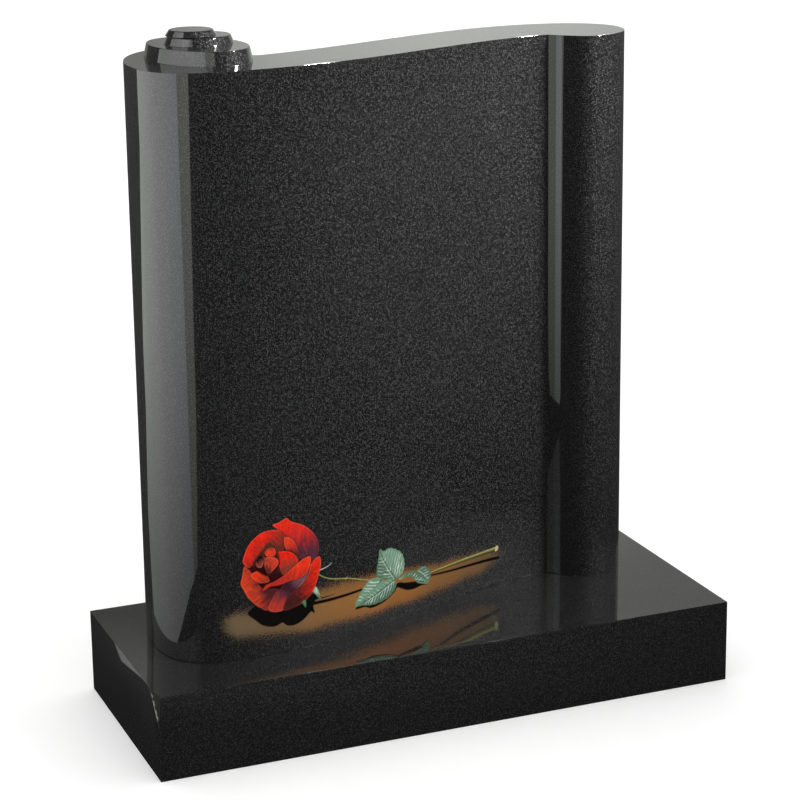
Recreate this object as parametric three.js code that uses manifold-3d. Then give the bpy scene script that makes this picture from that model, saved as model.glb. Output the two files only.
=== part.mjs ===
// Scroll headstone: a granite tablet carved as a part-unrolled parchment, standing on a granite plinth.
// Millimetres, +Z up. X runs along the stone, left to right, and Y runs away from its front.
// The origin is on the ground, under the middle of the plinth.
import * as THREE from 'three';
import { mergeVertices } from 'three/addons/utils/BufferGeometryUtils.js';
import Module from 'manifold-3d';

// Tablet, overall
const tabletLength = 670;
const tabletDepth = 228;
const tabletHeight = 719;
const panelThickness = 106.5;

// Plinth: how far it shows past the tablet, its height and the hairline bed between the two
const leftMargin = 42;
const rightMargin = 50;
const frontMargin = 71;
const backMargin = 5;
const baseHeight = 107;
const bedGap = 0.3;

// Polished arris taken off every edge
const arris = 1.2;

// Left roll, an oval that stands out behind the panel
const rollLength = 153;
const rollFrontAt = 99;
const rollSideAt = 94;
const rollBackAt = 88;
const valleyRadius = 18;

// Right roll, and the dished flank that climbs to it from a small hollow at the panel's end
const endRollRadius = 67;
const endRollSetback = 86;
const panelEndSetback = 122.5;
const flankSetback = 107;
const flankLength = 14;
const flankToEnd = 103;
const flankDish = 0.25;
const hollowReach = 2.6;

// The panel's S curve: how long it stays flat at its two ends
const panelStartPull = 178;
const panelEndPull = 107;

// How full each bend of the plan is, as the share of its run that a handle takes;
// roundFull makes a true quarter circle
const roundFull = 0.5523;
const rollFrontFull = 0.74;
const rollFlankFull = 0.6;
const rollCrownFull = 0.42;
const endBackFull = 0.6;
const flankLeadFull = 0.38;
const flankLeadSlope = 0.86;
const rollStraightShare = 0.25;

// Three turns of the roll that rise in steps above the top, each a flared oval.
// across and along are half widths of the top, turn is the long axis from the X axis in degrees.
const turns = [
  { height: 17.5, across: 53, along: 78.5, turn: 105, fromLeft: 92, fromFront: 118.5, flare: 4.9 },
  { height: 9.5, across: 35, along: 39.5, turn: 20, fromLeft: 96.5, fromFront: 127, flare: 4 },
  { height: 7, across: 26, along: 26, turn: 0, fromLeft: 88, fromFront: 131, flare: 4.6 },
];
const turnSink = 2;

// A shallow spall off the plinth's top corner, front left: along its three edges
const chipAlongX = 3.5;
const chipAlongY = 34;
const chipDown = 40;

// Fineness of the facets
const curveStep = 7;
const hollowFacets = 4;
const turnSides = 48;

// Worked out from the sizes above
const builtDepth = Math.max(tabletDepth, panelEndSetback + panelThickness);
const baseLength = leftMargin + tabletLength + rightMargin;
const baseDepth = frontMargin + builtDepth + backMargin;
const leftX = -baseLength / 2 + leftMargin;
const rightX = leftX + tabletLength;
const frontY = -baseDepth / 2 + frontMargin;
const rollBackY = frontY + tabletDepth;
const tabletFoot = baseHeight + bedGap;
const tabletTop = tabletFoot + tabletHeight;

const point = (x, y) => new THREE.Vector2(x, y);

// Points of a Bezier bend, without its last one, which the next bend begins with
function bend(start, startHandle, endHandle, end) {
  const curve = new THREE.CubicBezierCurve(start, startHandle, endHandle, end);
  const pieces = Math.max(3, Math.round(curve.getLength() / curveStep));
  return curve.getSpacedPoints(pieces).slice(0, -1);
}

// A quarter turn that leaves its start along X and reaches its end along Y
function quarterFromX(start, startFull, end, endFull) {
  const startHandle = point(start.x + (end.x - start.x) * startFull, start.y);
  const endHandle = point(end.x, end.y - (end.y - start.y) * endFull);
  return bend(start, startHandle, endHandle, end);
}

// A quarter turn that leaves its start along Y and reaches its end along X
function quarterFromY(start, startFull, end, endFull) {
  const startHandle = point(start.x, start.y + (end.y - start.y) * startFull);
  const endHandle = point(end.x - (end.x - start.x) * endFull, end.y);
  return bend(start, startHandle, endHandle, end);
}

// The panel's front, a slack S from the left roll's foremost point back to the hollow
function panelFront() {
  const start = point(leftX + rollFrontAt, frontY);
  const end = point(rightX - flankToEnd - flankLength - hollowReach, frontY + panelEndSetback);
  const startHandle = point(start.x + panelStartPull, start.y);
  const endHandle = point(end.x - panelEndPull, end.y);
  return new THREE.CubicBezierCurve(start, startHandle, endHandle, end);
}

// The panel's back, the same S set off by the thickness, from the right roll to the valley
function panelBack(front, valleyX) {
  const pieces = Math.round(front.getLength() / curveStep);
  const back = [];
  for (let i = pieces; i >= 0; i -= 1) {
    const at = front.getPointAt(i / pieces);
    const along = front.getTangentAt(i / pieces);
    const spot = point(at.x - along.y * panelThickness, at.y + along.x * panelThickness);
    if (spot.x > valleyX) back.push(spot);
  }
  return back;
}

// The hollow that turns the panel's end up into the flank
function hollow(start, flankTop) {
  const corner = point(start.x + hollowReach, start.y);
  const climb = flankTop.clone().sub(corner).normalize();
  const end = corner.clone().addScaledVector(climb, hollowReach);
  return new THREE.QuadraticBezierCurve(start, corner, end).getPoints(hollowFacets);
}

// The middle of the flank, where it is dished a little
function flank(start, end) {
  const inward = point(start.y - end.y, end.x - start.x).setLength(flankDish);
  return [start.clone().lerp(end, 0.5).add(inward)];
}

// The right roll, from the flank round its front, its end and its back to the panel's back
function endRoll(start, finish) {
  const foremost = point(rightX - endRollRadius, frontY + endRollSetback);
  const outermost = point(rightX, foremost.y + endRollRadius);
  const lead = (foremost.x - start.x) * flankLeadFull;
  return [
    ...bend(start, point(start.x + lead, start.y - lead * flankLeadSlope),
      point(foremost.x - lead, foremost.y), foremost),
    ...quarterFromX(foremost, roundFull, outermost, roundFull),
    ...quarterFromY(outermost, endBackFull, finish, endBackFull),
  ];
}

// The left roll, from the valley behind the panel round its back and its left side to its front
function leftRoll(valleyEnd, valleyTangent) {
  const sideX = leftX + rollLength;
  const valleyStart = point(sideX, valleyEnd.y + valleyRadius);
  const innerSide = point(sideX, valleyStart.y + (rollBackY - valleyStart.y) * rollStraightShare);
  const rearmost = point(leftX + rollBackAt, rollBackY);
  const leftmost = point(leftX, frontY + rollSideAt);
  const foremost = point(leftX + rollFrontAt, frontY);
  const handle = valleyRadius * roundFull;
  return [
    ...bend(valleyEnd, valleyEnd.clone().addScaledVector(valleyTangent, -handle),
      point(sideX, valleyStart.y - handle), valleyStart),
    valleyStart,
    ...quarterFromY(innerSide, rollFlankFull, rearmost, rollCrownFull),
    ...quarterFromX(rearmost, rollCrownFull, leftmost, rollFlankFull),
    ...quarterFromY(leftmost, rollFrontFull, foremost, rollFrontFull),
  ];
}

// The whole plan of the tablet, once round, seen from above
function tabletPlan() {
  const front = panelFront();
  const frontPoints = front.getSpacedPoints(Math.round(front.getLength() / curveStep));
  const flankTop = point(rightX - flankToEnd, frontY + flankSetback);
  const back = panelBack(front, leftX + rollLength + valleyRadius);
  const panelEnd = hollow(frontPoints[frontPoints.length - 1], flankTop);
  const valleyEnd = back[back.length - 1];
  const valleyTangent = back[back.length - 2].clone().sub(valleyEnd).normalize();
  return [
    ...frontPoints.slice(0, -1),
    ...panelEnd,
    ...flank(panelEnd[panelEnd.length - 1], flankTop),
    ...endRoll(flankTop, back[0]),
    ...back.slice(0, -1),
    ...leftRoll(valleyEnd, valleyTangent),
  ];
}

// A plan pulled up to a height, with its top and bottom edges eased by the arris
function pulledUp(plan, foot, height) {
  const geometry = new THREE.ExtrudeGeometry(new THREE.Shape(plan), {
    depth: height - 2 * arris,
    bevelEnabled: true,
    bevelThickness: arris,
    bevelSize: arris,
    bevelOffset: -arris,
    bevelSegments: 1,
  });
  return geometry.translate(0, 0, foot + arris);
}

// One raised turn: a flared disc drawn out to an oval, turned and set in its place
function raisedTurn(turn, foot) {
  const spread = turn.flare * (turnSink / turn.height);
  const half = turn.along;
  const profile = [
    point(0, -turnSink),
    point(half + turn.flare + spread, -turnSink),
    point(half + turn.flare * (arris / turn.height), turn.height - arris),
    point(half - arris, turn.height),
    point(0, turn.height),
  ];
  const geometry = new THREE.LatheGeometry(profile, turnSides);
  geometry.rotateX(Math.PI / 2);
  geometry.scale(1, turn.across / turn.along, 1);
  geometry.rotateZ(THREE.MathUtils.degToRad(turn.turn));
  return geometry.translate(leftX + turn.fromLeft, frontY + turn.fromFront, foot);
}

// A rectangle with its four upright arrises taken off
function slabPlan(length, depth) {
  const x = length / 2;
  const y = depth / 2;
  return [
    point(-x + arris, -y), point(x - arris, -y), point(x, -y + arris), point(x, y - arris),
    point(x - arris, y), point(-x + arris, y), point(-x, y - arris), point(-x, -y + arris),
  ];
}

// The block whose inner face is the plane of the spall, and which reaches well outside the corner
function chipBlock() {
  const size = 2 * (chipAlongX + chipAlongY + chipDown);
  const corner = new THREE.Vector3(-baseLength / 2, -baseDepth / 2, baseHeight);
  const outward = new THREE.Vector3(-1 / chipAlongX, -1 / chipAlongY, 1 / chipDown).normalize();
  const onFace = corner.clone().add(new THREE.Vector3(0, chipAlongY, 0));
  const inFromCorner = corner.clone().sub(onFace).dot(outward);
  const centre = corner.clone().addScaledVector(outward, size / 2 - inFromCorner);
  const geometry = new THREE.BoxGeometry(size, size, size);
  geometry.applyQuaternion(new THREE.Quaternion().setFromUnitVectors(new THREE.Vector3(0, 0, 1), outward));
  return geometry.translate(centre.x, centre.y, centre.z);
}

const wasm = await Module();
wasm.setup();

// Corners closer than this are one corner
const weldDistance = 1e-4;

// A closed three.js shape as a solid that can be joined and cut
function solid(geometry) {
  const bare = geometry.clone();
  bare.deleteAttribute('normal');
  bare.deleteAttribute('uv');
  const merged = mergeVertices(bare, weldDistance);
  const kept = [];
  const index = merged.index.array;
  for (let i = 0; i < index.length; i += 3) {
    const [a, b, c] = [index[i], index[i + 1], index[i + 2]];
    if (a !== b && b !== c && c !== a) kept.push(a, b, c);
  }
  return new wasm.Manifold(new wasm.Mesh({
    numProp: 3,
    vertProperties: new Float32Array(merged.attributes.position.array),
    triVerts: new Uint32Array(kept),
  }));
}

function namedMesh(name, body, material) {
  const mesh = body.getMesh();
  const geometry = new THREE.BufferGeometry();
  geometry.setAttribute('position', new THREE.BufferAttribute(new Float32Array(mesh.vertProperties), 3));
  geometry.setIndex(new THREE.BufferAttribute(new Uint32Array(mesh.triVerts), 1));
  geometry.computeVertexNormals();
  const part = new THREE.Mesh(geometry, material);
  part.name = name;
  return part;
}

function tabletBody() {
  let body = solid(pulledUp(tabletPlan(), tabletFoot, tabletHeight));
  let foot = tabletTop;
  for (const turn of turns) {
    body = body.add(solid(raisedTurn(turn, foot)));
    foot += turn.height;
  }
  return body;
}

function baseBody() {
  return solid(pulledUp(slabPlan(baseLength, baseDepth), 0, baseHeight)).subtract(solid(chipBlock()));
}

const polishedBlackGranite = new THREE.MeshStandardMaterial({
  name: 'polished_black_granite',
  color: 0x17181a,
  roughness: 0.08,
  metalness: 0,
});
const plinthGranite = polishedBlackGranite.clone();
plinthGranite.name = 'plinth_black_granite';

const headstone = new THREE.Group();
headstone.add(namedMesh('base', baseBody(), plinthGranite));
headstone.add(namedMesh('tablet', tabletBody(), polishedBlackGranite));

export default headstone;
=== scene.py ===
import math

import bmesh
import bpy
import numpy as np
from mathutils import Matrix, Vector, noise
from mathutils.geometry import delaunay_2d_cdt, tessellate_polygon


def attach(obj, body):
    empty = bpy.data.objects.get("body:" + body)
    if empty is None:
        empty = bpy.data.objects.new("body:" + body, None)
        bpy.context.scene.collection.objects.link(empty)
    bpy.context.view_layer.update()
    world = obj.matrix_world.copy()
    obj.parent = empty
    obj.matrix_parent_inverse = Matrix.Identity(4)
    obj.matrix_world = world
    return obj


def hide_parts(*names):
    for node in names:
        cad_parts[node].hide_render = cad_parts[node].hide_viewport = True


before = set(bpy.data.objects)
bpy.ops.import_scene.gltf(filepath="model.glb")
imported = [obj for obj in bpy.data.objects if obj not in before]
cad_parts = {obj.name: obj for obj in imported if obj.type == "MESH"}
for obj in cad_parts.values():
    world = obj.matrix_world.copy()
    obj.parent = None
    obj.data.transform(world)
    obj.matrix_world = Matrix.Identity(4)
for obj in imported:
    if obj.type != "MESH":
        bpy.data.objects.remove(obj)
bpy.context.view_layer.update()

mm = 0.001  # lengths below are in millimetres, Blender works in metres


# A new object in the scene that holds a mesh, a lamp or a camera
def addObject(name, data):
    made = bpy.data.objects.new(name, data)
    bpy.context.scene.collection.objects.link(made)
    return made


# Plan curves, all in millimetres

def point(x, y):
    return np.array([x, y], dtype=float)


# A Bezier bend as many close points, without its last one
def bend(start, startHandle, endHandle, end, count=240):
    t = np.linspace(0, 1, count + 1)[:-1, None]
    s = 1 - t
    return s ** 3 * start + 3 * s * s * t * startHandle + 3 * s * t * t * endHandle + t ** 3 * end


# The same towards one corner point
def bendTowards(start, corner, end, count):
    t = np.linspace(0, 1, count + 1)[:-1, None]
    return (1 - t) ** 2 * start + 2 * t * (1 - t) * corner + t * t * end


circleFull = 0.5523  # how far a quarter turn's handles reach on a true circle


# A quarter turn that leaves its start along X and reaches its end along Y
def quarterFromX(start, startFull, end, endFull):
    startHandle = point(start[0] + (end[0] - start[0]) * startFull, start[1])
    endHandle = point(end[0], end[1] - (end[1] - start[1]) * endFull)
    return bend(start, startHandle, endHandle, end)


# A quarter turn that leaves its start along Y and reaches its end along X
def quarterFromY(start, startFull, end, endFull):
    startHandle = point(start[0], start[1] + (end[1] - start[1]) * startFull)
    endHandle = point(end[0] - (end[0] - start[0]) * endFull, end[1])
    return bend(start, startHandle, endHandle, end)


# A line closed by its first point, and how far along it each point is
def closedRun(points):
    closed = np.vstack([points, points[:1]])
    return closed, np.r_[0, np.cumsum(np.linalg.norm(np.diff(closed, axis=0), axis=1))]


# What a line's pairs of values are at some distances along it
def valuesAt(at, run, line):
    return np.c_[np.interp(at, run, line[:, 0]), np.interp(at, run, line[:, 1])]


# Closed line of points spaced evenly
def evenly(points, spacing):
    closed, run = closedRun(points)
    count = int(round(run[-1] / spacing))
    return valuesAt(np.linspace(0, run[-1], count + 1)[:-1], run, closed)


# Outward unit normals of a closed plan that runs counter-clockwise
def outwardNormals(plan):
    along = np.roll(plan, -1, axis=0) - np.roll(plan, 1, axis=0)
    along /= np.linalg.norm(along, axis=1)[:, None]
    return np.c_[along[:, 1], -along[:, 0]]


# Rounds every corner of a closed plan by running it through a short soft window
def softened(plan, passes):
    for _ in range(passes):
        plan = 0.25 * np.roll(plan, 1, axis=0) + 0.5 * plan + 0.25 * np.roll(plan, -1, axis=0)
    return plan


# Gathers the rings and caps of one closed solid, with a normal for every corner
class Shell:
    def __init__(self):
        self.points = []
        self.faces = []
        self.normals = []  # one for each corner of each face
        self.count = 0

    def ring(self, plan, z):
        first = self.count
        self.points.append(np.c_[plan, np.full(len(plan), float(z))])
        self.count += len(plan)
        return np.arange(first, first + len(plan))

    # Quads between two rings of equal count, the lower one first
    def wall(self, lower, upper, lowerNormals, upperNormals):
        after = np.roll(np.arange(len(lower)), -1)
        for i, j in enumerate(after):
            self.faces.append((lower[i], lower[j], upper[j], upper[i]))
            self.normals += [lowerNormals[i], lowerNormals[j], upperNormals[j], upperNormals[i]]

    # A flat cap between an outer ring and any holes in it
    def cap(self, rings, up):
        order = np.concatenate(rings)
        allPoints = np.vstack(self.points)
        loops = [[Vector((*allPoints[i][:2], 0)) for i in ring] for ring in rings]
        for a, b, c in tessellate_polygon(loops):
            i, j, k = order[a], order[b], order[c]
            p, q, r = allPoints[i], allPoints[j], allPoints[k]
            turn = (q[0] - p[0]) * (r[1] - p[1]) - (q[1] - p[1]) * (r[0] - p[0])
            if abs(turn) < 1e-9:
                continue
            if (turn > 0) != (up > 0):
                j, k = k, j
            self.faces.append((i, j, k))
            self.normals += [(0, 0, up)] * 3

    def build(self, name):
        mesh = bpy.data.meshes.new(name)
        faces = [tuple(map(int, face)) for face in self.faces]
        mesh.from_pydata((np.vstack(self.points) * mm).tolist(), [], faces)
        mesh.polygons.foreach_set("use_smooth", [True] * len(mesh.polygons))
        mesh.normals_split_custom_set([tuple(map(float, n)) for n in self.normals])
        mesh.update()
        return addObject(name, mesh)


# Normals that lean from the side towards up by an angle
def leaning(sideNormals, angle):
    return np.c_[sideNormals * math.cos(angle), np.full(len(sideNormals), math.sin(angle))]


edgeSteps = 4  # facets across a rounded edge


# A plan pulled up between two heights with both edges rounded; returns the top edge's inner ring
def pullUp(shell, plan, foot, top, rounding, levels, openTop=False):
    side = outwardNormals(plan)
    angles = [math.pi / 2 * i / edgeSteps for i in range(edgeSteps + 1)]
    rings = []
    for angle in reversed(angles):
        rings.append((plan - side * rounding * (1 - math.cos(angle)),
                      foot + rounding * (1 - math.sin(angle)), leaning(side, -angle)))
    for level in np.linspace(foot + rounding, top - rounding, levels + 1)[1:-1]:
        rings.append((plan, level, leaning(side, 0)))
    for angle in angles:
        rings.append((plan - side * rounding * (1 - math.cos(angle)),
                      top - rounding * (1 - math.sin(angle)), leaning(side, angle)))
    made = [(shell.ring(p, z), n) for p, z, n in rings]
    for (lower, lowerNormals), (upper, upperNormals) in zip(made, made[1:]):
        shell.wall(lower, upper, lowerNormals, upperNormals)
    shell.cap([made[0][0]], -1)
    if not openTop:
        shell.cap([made[-1][0]], 1)
    return made[-1][0]


# The tablet: panel, two rolls and the flank between, with three turns stepped above the left roll

tablet = {
    "length": 670, "depth": 228, "height": 719, "thickness": 106.5,
    "left": -339, "front": -81.5, "foot": 107.3,
    "rollLength": 153, "rollFrontAt": 99, "rollSideAt": 94, "rollBackAt": 88, "valley": 18,
    "endRadius": 67, "endSetback": 86, "panelEndSetback": 122.5,
    "flankSetback": 107, "flankLength": 14, "flankToEnd": 103, "flankDish": 0.25, "hollowReach": 2.6,
    "flankLeadFull": 0.38, "flankLeadSlope": 0.86,
    "panelStartPull": 178, "panelEndPull": 107,
    # how full the quarters of the rolls are
    "rollFrontFull": 0.74, "rollSideFull": 0.6, "rollBackFull": 0.42, "endBackFull": 0.6,
    "innerSideShare": 0.25,  # of the roll's depth behind the valley, straight before it turns
    "spacing": 1.0,          # between the points of the plan
    "edgeRound": 0.45,       # polished arris
    "levels": 10,
    # the turns: height, half across, half along, turned, from the left, from the front, flare, edge
    "turns": [
        (17.5, 53, 78.5, 105, 92, 118.5, 4.9, 1.5),
        (9.5, 35, 39.5, 20, 96.5, 127, 4, 1.8),
        (7, 26, 26, 0, 88, 131, 4.6, 2.0),
    ],
    "turnPoints": 300,
    "turnFootRound": 0.6,
}
tablet["right"] = tablet["left"] + tablet["length"]
tablet["top"] = tablet["foot"] + tablet["height"]


def panelFrontCurve():
    start = point(tablet["left"] + tablet["rollFrontAt"], tablet["front"])
    end = point(tablet["right"] - tablet["flankToEnd"] - tablet["flankLength"] - tablet["hollowReach"],
                tablet["front"] + tablet["panelEndSetback"])
    curve = bend(start, start + point(tablet["panelStartPull"], 0),
                 end - point(tablet["panelEndPull"], 0), end, 900)
    return np.vstack([curve, end])


def tabletPlan():
    left, right, front = tablet["left"], tablet["right"], tablet["front"]
    face = panelFrontCurve()
    along = np.gradient(face, axis=0)
    along /= np.linalg.norm(along, axis=1)[:, None]
    back = (face + np.c_[-along[:, 1], along[:, 0]] * tablet["thickness"])[::-1]
    back = back[back[:, 0] > left + tablet["rollLength"] + tablet["valley"]]

    corner = face[-1] + point(tablet["hollowReach"], 0)
    flankTop = point(right - tablet["flankToEnd"], front + tablet["flankSetback"])
    climb = (flankTop - corner) / np.linalg.norm(flankTop - corner)
    hollowEnd = corner + climb * tablet["hollowReach"]
    hollow = bendTowards(face[-1], corner, hollowEnd, 30)
    inward = point(hollowEnd[1] - flankTop[1], flankTop[0] - hollowEnd[0])
    dished = (hollowEnd + flankTop) / 2 + inward / np.linalg.norm(inward) * 2 * tablet["flankDish"]
    flank = bendTowards(hollowEnd, dished, flankTop, 40)

    foremost = point(right - tablet["endRadius"], front + tablet["endSetback"])
    outermost = point(right, foremost[1] + tablet["endRadius"])
    lead = (foremost[0] - flankTop[0]) * tablet["flankLeadFull"]
    away = flankTop + point(lead, -lead * tablet["flankLeadSlope"])
    endRoll = [
        bend(flankTop, away, foremost - point(lead, 0), foremost),
        quarterFromX(foremost, circleFull, outermost, circleFull),
        quarterFromY(outermost, tablet["endBackFull"], back[0], tablet["endBackFull"]),
    ]

    sideX = left + tablet["rollLength"]
    rollBack = front + tablet["depth"]
    valleyEnd = back[-1]
    valleyTangent = (back[-2] - valleyEnd) / np.linalg.norm(back[-2] - valleyEnd)
    valleyStart = point(sideX, valleyEnd[1] + tablet["valley"])
    innerSide = point(sideX, valleyStart[1] + (rollBack - valleyStart[1]) * tablet["innerSideShare"])
    rearmost = point(left + tablet["rollBackAt"], rollBack)
    leftmost = point(left, front + tablet["rollSideAt"])
    handle = tablet["valley"] * circleFull
    sideFull, backFull, frontFull = tablet["rollSideFull"], tablet["rollBackFull"], tablet["rollFrontFull"]
    leftRoll = [
        bend(valleyEnd, valleyEnd - valleyTangent * handle,
             valleyStart - point(0, handle), valleyStart, 40),
        np.linspace(valleyStart, innerSide, 40)[:-1],
        quarterFromY(innerSide, sideFull, rearmost, backFull),
        quarterFromX(rearmost, backFull, leftmost, sideFull),
        quarterFromY(leftmost, frontFull, face[0], frontFull),
    ]
    return np.vstack([face[:-1], hollow, flank, *endRoll, back[:-1], *leftRoll])


# One raised turn: rings from its foot fillet up to the inner ring of its top edge
def raiseTurn(shell, turn, foot):
    height, across, along, degrees, fromLeft, fromFront, flare, rounding = turn
    fillet = tablet["turnFootRound"]
    slope = math.atan2(flare, height)  # the wall leans inward by this
    steps = np.linspace(0, 1, edgeSteps + 1)
    footCentre = along + flare * (1 - fillet / height) + fillet / math.cos(slope)
    topCentre = along + flare * rounding / height - rounding / math.cos(slope)
    profile = []                       # radius, height, and the lean of the surface from level
    for angle in math.pi / 2 - (math.pi / 2 - slope) * steps:
        profile.append((footCentre - fillet * math.cos(angle), fillet * (1 - math.sin(angle)), angle))
    for angle in slope + (math.pi / 2 - slope) * steps:
        profile.append((topCentre + rounding * math.cos(angle),
                        height - rounding * (1 - math.sin(angle)), angle))
    theta = np.linspace(0, 2 * math.pi, tablet["turnPoints"], endpoint=False)
    squeeze = across / along
    spin = math.radians(degrees)
    turned = np.array([[math.cos(spin), -math.sin(spin)], [math.sin(spin), math.cos(spin)]])
    centre = point(tablet["left"] + fromLeft, tablet["front"] + fromFront)
    made = []
    for radius, z, angle in profile:
        out, rise = math.cos(angle), math.sin(angle)
        oval = np.c_[radius * np.cos(theta), radius * squeeze * np.sin(theta)]
        normal = np.c_[out * np.cos(theta), out * np.sin(theta) / squeeze, np.full(len(theta), rise)]
        normal /= np.linalg.norm(normal, axis=1)[:, None]
        normal[:, :2] = normal[:, :2] @ turned.T
        made.append((shell.ring(oval @ turned.T + centre, foot + z), normal))
    for (lower, lowerNormals), (upper, upperNormals) in zip(made, made[1:]):
        shell.wall(lower, upper, lowerNormals, upperNormals)
    return made[0][0], made[-1][0]


def makeTablet():
    plan = softened(evenly(tabletPlan(), tablet["spacing"]), 1)
    shell = Shell()
    deck = pullUp(shell, plan, tablet["foot"], tablet["top"], tablet["edgeRound"], tablet["levels"], True)
    height = tablet["top"]
    for turn in tablet["turns"]:
        footRing, topRing = raiseTurn(shell, turn, height)
        shell.cap([deck, footRing], 1)
        deck = topRing
        height += turn[0]
    shell.cap([deck], 1)
    return shell.build("headstoneTablet")


tabletStone = makeTablet()
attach(tabletStone, "root")
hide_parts("tablet")
print("tablet:", len(tabletStone.data.vertices), "points")


# The plinth under it, with a shallow spall off the top corner at the front left

plinth = {
    "length": 762, "depth": 305, "height": 107,
    "edgeRound": 0.3,
    "spallAlongX": 3.5, "spallAlongY": 34, "spallDown": 40,
    "spallRough": 0.55,  # how far the break stands off its plane
    "spallGrain": 1.1,   # spacing of the break's facets
    "spallSeed": 11,
    "spallFine": 260, "spallBroad": 90,  # its unevenness, small and large, in waves to a metre
    "bruiseWide": 0.55, "bruiseFrom": 5, "bruiseTo": 30,  # from the left face, and down from the top
    "bruiseWaves": 160, "bruiseGaps": -0.22,
}

broken, sawn, bruised = 1, 2, 3  # the plinth's surfaces beside the polished one, which is 0


def plinthPlan():
    x, y, r = plinth["length"] / 2, plinth["depth"] / 2, plinth["edgeRound"]
    corners = ((x - r, -y + r, -90), (x - r, y - r, 0), (-x + r, y - r, 90), (-x + r, -y + r, 180))
    points = []
    for cornerX, cornerY, first in corners:
        for i in range(edgeSteps + 1):
            angle = math.radians(first + 90 / edgeSteps * i)
            points.append((cornerX + r * math.cos(angle), cornerY + r * math.sin(angle)))
    return np.array(points)


# The edges of the cut as one closed loop of points
def rimLoop(rim):
    loop = [rim[0].verts[0], rim[0].verts[1]]
    left = set(rim[1:])
    while left:
        following = next((edge for edge in left if loop[-1] in edge.verts), None)
        if following is None:
            break
        left.discard(following)
        loop.append(following.other_vert(loop[-1]))
    if loop[0] == loop[-1]:
        loop.pop()
    return loop


# Loose spots inside the flattened rim for the corners of the break's facets
def facetSpots(flat):
    random = np.random.default_rng(plinth["spallSeed"])
    step = plinth["spallGrain"] * mm
    low = np.min([list(spot) for spot in flat], axis=0)
    high = np.max([list(spot) for spot in flat], axis=0)
    spots = []
    for x in np.arange(low[0], high[0], step):
        for y in np.arange(low[1], high[1], step):
            spot = Vector((x + random.uniform(-0.3, 0.3) * step, y + random.uniform(-0.3, 0.3) * step))
            if clearOf(spot, flat, step * 0.45):
                spots.append(spot)
    return spots


# Takes the spall off and closes the cut with a broken face of small facets
def breakCorner(body):
    alongX, alongY, down = plinth["spallAlongX"], plinth["spallAlongY"], plinth["spallDown"]
    corner = Vector((-plinth["length"] / 2, -plinth["depth"] / 2, plinth["height"])) * mm
    outward = Vector((-1 / alongX, -1 / alongY, 1 / down)).normalized()
    onFace = corner + Vector((alongX * mm, 0, 0))
    shape = bmesh.new()
    shape.from_mesh(body.data)
    cut = bmesh.ops.bisect_plane(shape, geom=shape.verts[:] + shape.edges[:] + shape.faces[:],
                                 plane_co=onFace, plane_no=outward, clear_outer=True, dist=1e-7)
    loop = rimLoop([part for part in cut["geom_cut"] if isinstance(part, bmesh.types.BMEdge)])
    across = outward.orthogonal().normalized()
    upward = outward.cross(across)
    flat = [Vector(((v.co - onFace).dot(across), (v.co - onFace).dot(upward))) for v in loop]
    points, _, faces, origins, _, _ = delaunay_2d_cdt(flat + facetSpots(flat), [],
                                                      [list(range(len(flat)))], 1, 1e-9)
    placed = []
    for spot, origin in zip(points, origins):
        if origin and origin[0] < len(loop):
            placed.append(loop[origin[0]])
            continue
        where = onFace + across * spot.x + upward * spot.y
        depth = noise.fractal(where * plinth["spallFine"], 1.0, 2.0, 3) * 0.9
        depth += noise.noise(where * plinth["spallBroad"]) * 0.8
        where += outward * depth * plinth["spallRough"] * mm
        # never past the stone's own faces
        inside = (max(where.x, corner.x), max(where.y, corner.y), min(where.z, corner.z))
        placed.append(shape.verts.new(inside))
    for face in faces:
        made = shape.faces.new([placed[i] for i in face])
        made.normal_update()
        if made.normal.dot(outward) < 0:
            made.normal_flip()
        made.material_index = bruised if isBruised(made.calc_center_median()) else broken
        made.smooth = False
    shape.to_mesh(body.data)
    shape.free()


# A thin bruise runs down the break's edge on the left face, broken off here and there
def isBruised(spot):
    fromLeft = (spot.x + plinth["length"] / 2 * mm) / mm
    down = plinth["height"] - spot.z / mm
    inBand = fromLeft < plinth["bruiseWide"] and plinth["bruiseFrom"] < down < plinth["bruiseTo"]
    return inBand and noise.noise(spot * plinth["bruiseWaves"]) > plinth["bruiseGaps"]


# Whether a spot is inside an outline and not too near its edge
def clearOf(spot, outline, gap):
    inside = False
    for a, b in zip(outline, outline[1:] + outline[:1]):
        if (a.y > spot.y) != (b.y > spot.y):
            if spot.x < (b.x - a.x) * (spot.y - a.y) / (b.y - a.y) + a.x:
                inside = not inside
        run = b - a
        share = min(1, max(0, (spot - a).dot(run) / max(run.length_squared, 1e-18)))
        if (a + run * share - spot).length < gap:
            return False
    return inside


def makePlinth():
    shell = Shell()
    plan = plinthPlan()
    pullUp(shell, plan, 0, plinth["height"], plinth["edgeRound"], 1)
    body = shell.build("headstonePlinth")
    breakCorner(body)
    return body


plinthStone = makePlinth()
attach(plinthStone, "root")
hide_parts("base")
print("plinth:", len(plinthStone.data.vertices), "points")


# Black granite: dark crystals, some of them gleaming, under a clear polish

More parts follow.
